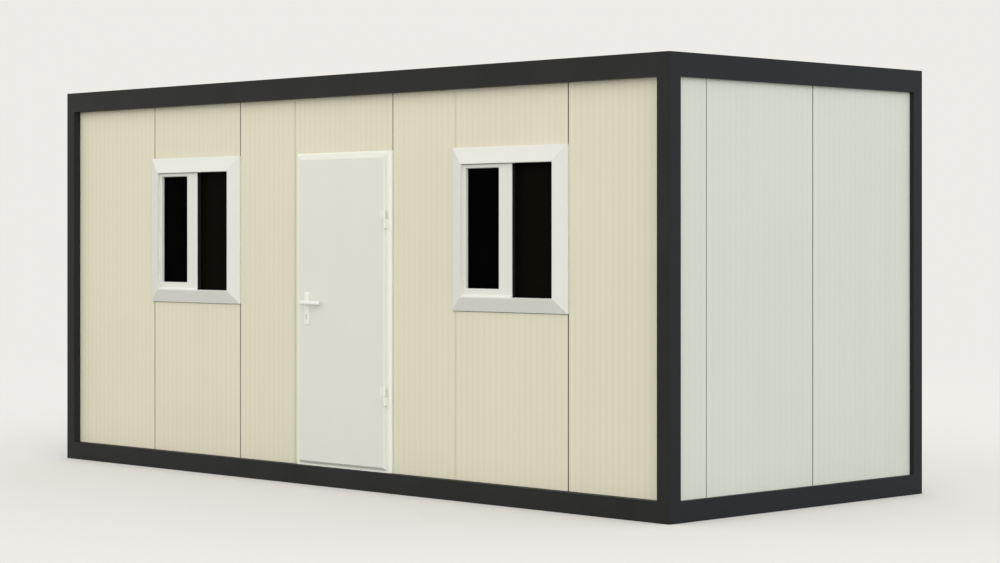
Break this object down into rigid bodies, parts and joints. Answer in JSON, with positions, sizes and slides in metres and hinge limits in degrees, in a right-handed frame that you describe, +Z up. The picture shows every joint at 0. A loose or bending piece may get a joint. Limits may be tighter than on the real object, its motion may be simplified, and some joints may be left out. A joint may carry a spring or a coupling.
{
  "type": "portable site cabin",
  "caption": "Portable site cabin: dark steel frame, recessed ribbed sandwich-panel walls, an outward-opening door with lever handle, and sliding windows with bevelled casings.",
  "frame": {"origin": "on the ground, under the middle of the cabin's plan", "axes": "+Z up, +X along the cabin (towards the end wall by window 2), the door and windows face -Y"},
  "size_m": [6.055, 2.47, 2.72],
  "materials": {
    "frame_paint": "satin anthracite paint",
    "long_wall_panel": "matt cream coated steel, fine upright ribs",
    "end_wall_panel": "matt grey-white coated steel, fine upright ribs",
    "door_paint": "satin white paint",
    "door_frame_paint": "satin white paint",
    "window_frame": "white window plastic",
    "glass": "dark clear glass",
    "handle_metal": "white coated metal",
    "lock_metal": "nickel plated",
    "hinge_steel": "painted with the door",
    "joist_steel": "galvanised",
    "floor_board": "grey-brown sheet floor",
    "ceiling_panel": "matt white coated steel",
    "roof_sheet": "coated ribbed steel sheet"
  },
  "bodies": {
    "cabin": {"back_panel_1": "long_wall_panel", "back_panel_2": "long_wall_panel", "back_panel_3": "long_wall_panel", "back_panel_4": "long_wall_panel", "back_panel_5": "long_wall_panel", "back_panel_6": "long_wall_panel", "base_rail_back": "frame_paint", "base_rail_front": "frame_paint", "base_rail_left": "frame_paint", "base_rail_right": "frame_paint", "ceiling": "ceiling_panel", "door_frame": "door_frame_paint", "door_panel_above": "long_wall_panel", "door_panel_beside": "long_wall_panel", "floor_deck": "floor_board", "floor_joists": "joist_steel", "front_panel_1": "long_wall_panel", "front_panel_3": "long_wall_panel", "front_panel_5": "long_wall_panel", "front_panel_7": "long_wall_panel", "hinge_fixed_halves": "hinge_steel", "left_panel_1": "end_wall_panel", "left_panel_2": "end_wall_panel", "left_panel_3": "end_wall_panel", "post_back_left": "frame_paint", "post_back_right": "frame_paint", "post_front_left": "frame_paint", "post_front_right": "frame_paint", "right_panel_1": "end_wall_panel", "right_panel_2": "end_wall_panel", "right_panel_3": "end_wall_panel", "roof_rail_back": "frame_paint", "roof_rail_front": "frame_paint", "roof_rail_left": "frame_paint", "roof_rail_right": "frame_paint", "roof_sheet": "roof_sheet", "window_1_frame": "window_frame", "window_1_panel_above": "long_wall_panel", "window_1_panel_below": "long_wall_panel", "window_1_panes": "glass", "window_1_sash": "window_frame", "window_2_frame": "window_frame", "window_2_panel_above": "long_wall_panel", "window_2_panel_below": "long_wall_panel", "window_2_panes": "glass", "window_2_sash": "window_frame"},
    "door": {"door_leaf": "door_paint", "hinge_moving_halves": "hinge_steel", "handle_plates": "handle_metal", "lock_cylinder": "lock_metal"},
    "lever": {"lever_outside": "handle_metal", "lever_inside": "handle_metal"}
  },
  "joints": [
    {"name": "door_hinge", "type": "hinge", "parent": "cabin", "child": "door", "pos_m": [0.54, -1.2025, 1.17], "axis": [0, 0, 1], "range_deg": [0, 165]},
    {"name": "lever_turn", "type": "hinge", "parent": "door", "child": "lever", "pos_m": [-0.249, -1.172, 1.214], "axis": [0, 1, 0], "range_deg": [0, 45], "stiffness_Nm_per_rad": 1.5, "springref_deg": -34.38}
  ]
}
